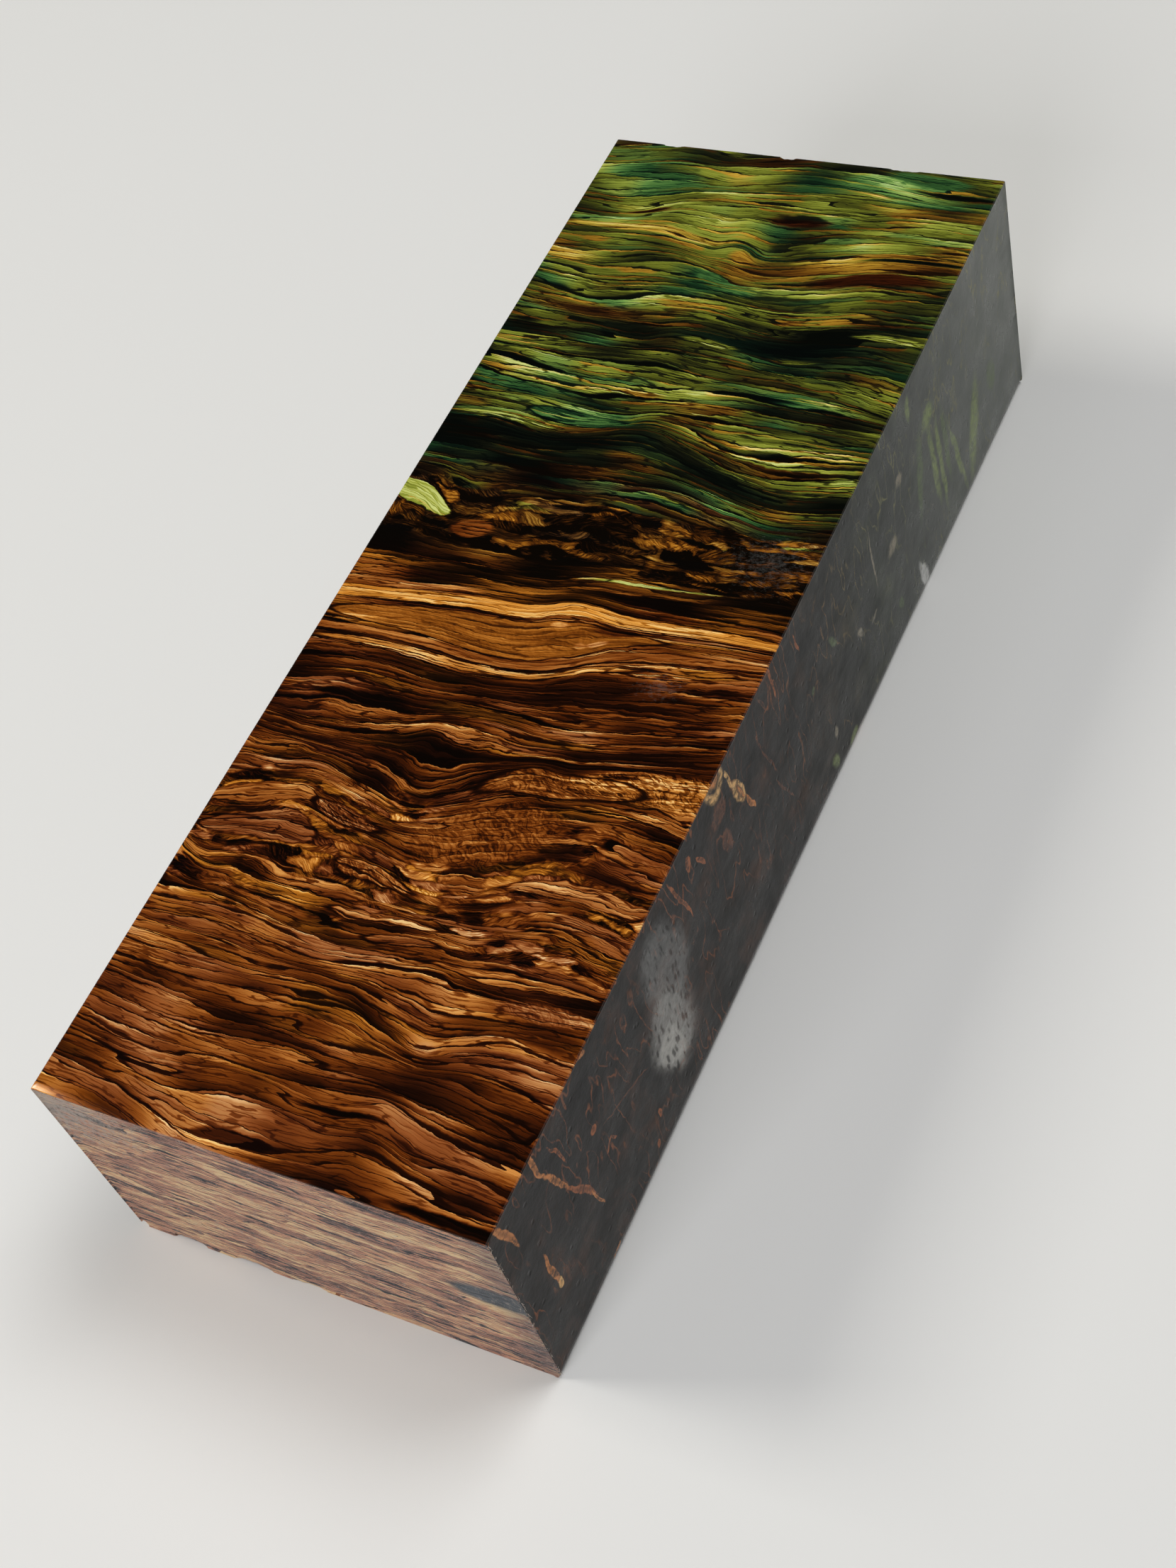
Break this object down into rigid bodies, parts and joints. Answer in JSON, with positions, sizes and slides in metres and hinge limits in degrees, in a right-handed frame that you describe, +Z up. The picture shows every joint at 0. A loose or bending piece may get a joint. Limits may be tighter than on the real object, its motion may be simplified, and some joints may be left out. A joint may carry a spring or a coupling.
{
  "type": "stabilised wood block",
  "caption": "Rectangular block of resin-stabilised figured wood, sawn on both ends and polished on top, for turning or handle making.",
  "frame": {"origin": "middle of the face the block rests on", "axes": "+Z up, Y along the block from the brown end to the green end, X across it along the fibres"},
  "size_m": [0.046, 0.128, 0.029],
  "materials": {
    "stabilised_wood": "polished top, satin end grain, sawn ends"
  },
  "bodies": {
    "root": {"wood_block": "stabilised_wood"}
  },
  "joints": []
}
